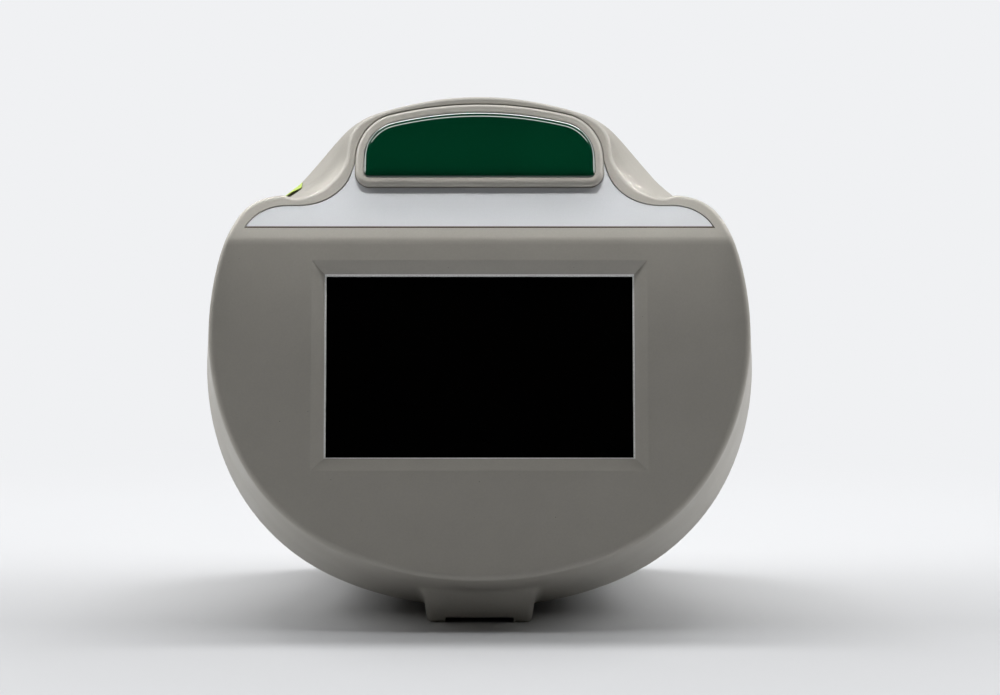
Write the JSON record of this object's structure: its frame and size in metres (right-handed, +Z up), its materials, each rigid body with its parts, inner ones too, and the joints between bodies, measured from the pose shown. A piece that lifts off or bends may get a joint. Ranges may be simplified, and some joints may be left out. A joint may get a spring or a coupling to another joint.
{
  "type": "rapid test reader",
  "caption": "Tabletop test strip reader: tilted round face with a display, a test drawer in the raised hood, ports and a power switch at the back.",
  "frame": {"origin": "middle of the housing on the surface that it stands on", "axes": "+X right, +Y to the rear, +Z up; the display and the drawer face -Y"},
  "size_m": [0.1986, 0.1786, 0.1848],
  "materials": {
    "shell_plastic": "fine moulded texture",
    "drawer_plastic": "fine moulded texture",
    "label_film": "satin film",
    "gasket_foam": "matt",
    "screen_glass": "gloss black behind glass",
    "lcd_frame": "satin",
    "plated_steel": "satin",
    "screw_steel": "satin",
    "circuit_board": "solder mask",
    "component_black": "matt",
    "socket_metal": "satin",
    "black_plastic": "fine texture",
    "rocker_plastic": "semi gloss",
    "badge_resin": "clear domed resin",
    "tray_plastic": "fine texture",
    "magnet_nickel": "polished",
    "rail_plastic": "low friction",
    "deck_aluminium": "satin",
    "heater_aluminium": "satin",
    "heater_film": "polyimide film",
    "head_plastic": "matt",
    "led_white": "clear",
    "lens_metal": "anodised black",
    "pad_rubber": "matt",
    "sticker_paper": "matt"
  },
  "bodies": {
    "housing": {"front_shell": "shell_plastic", "rear_shell": "shell_plastic", "label_panel": "label_film", "display_gasket": "gasket_foam", "touch_panel": "screen_glass", "lcd_module": "lcd_frame", "display_bracket": "plated_steel", "display_screws": "screw_steel", "main_board": "circuit_board", "board_components": "component_black", "board_screws": "screw_steel", "port_board": "circuit_board", "port_screws": "screw_steel", "network_socket": "socket_metal", "usb_sockets": "socket_metal", "power_inlet": "black_plastic", "switch_body": "black_plastic", "drawer_rail_left": "rail_plastic", "drawer_rail_right": "rail_plastic", "drawer_deck": "deck_aluminium", "deck_screws": "screw_steel", "heater_plate": "heater_aluminium", "heater_mat": "heater_film", "catch_plate": "plated_steel", "position_sensor": "black_plastic", "optical_head": "head_plastic", "led_bars": "led_white", "lens_barrel": "lens_metal", "sensor_board": "circuit_board", "housing_screws": "screw_steel", "rear_foot_pads": "pad_rubber", "inspection_sticker": "sticker_paper"},
    "drawer": {"drawer_front": "drawer_plastic", "drawer_badge": "badge_resin", "drawer_tray": "tray_plastic", "drawer_magnet": "magnet_nickel", "tray_screws": "screw_steel"},
    "rocker": {"switch_rocker": "rocker_plastic"}
  },
  "joints": [
    {"name": "drawer_slide", "type": "slide", "parent": "housing", "child": "drawer", "axis": [0, -1, 0], "range_m": [0, 0.088]},
    {"name": "power_rocker", "type": "hinge", "parent": "housing", "child": "rocker", "pos_m": [-0.044, 0.0824, 0.0385], "axis": [-1, 0, 0], "range_deg": [0, 16]}
  ]
}
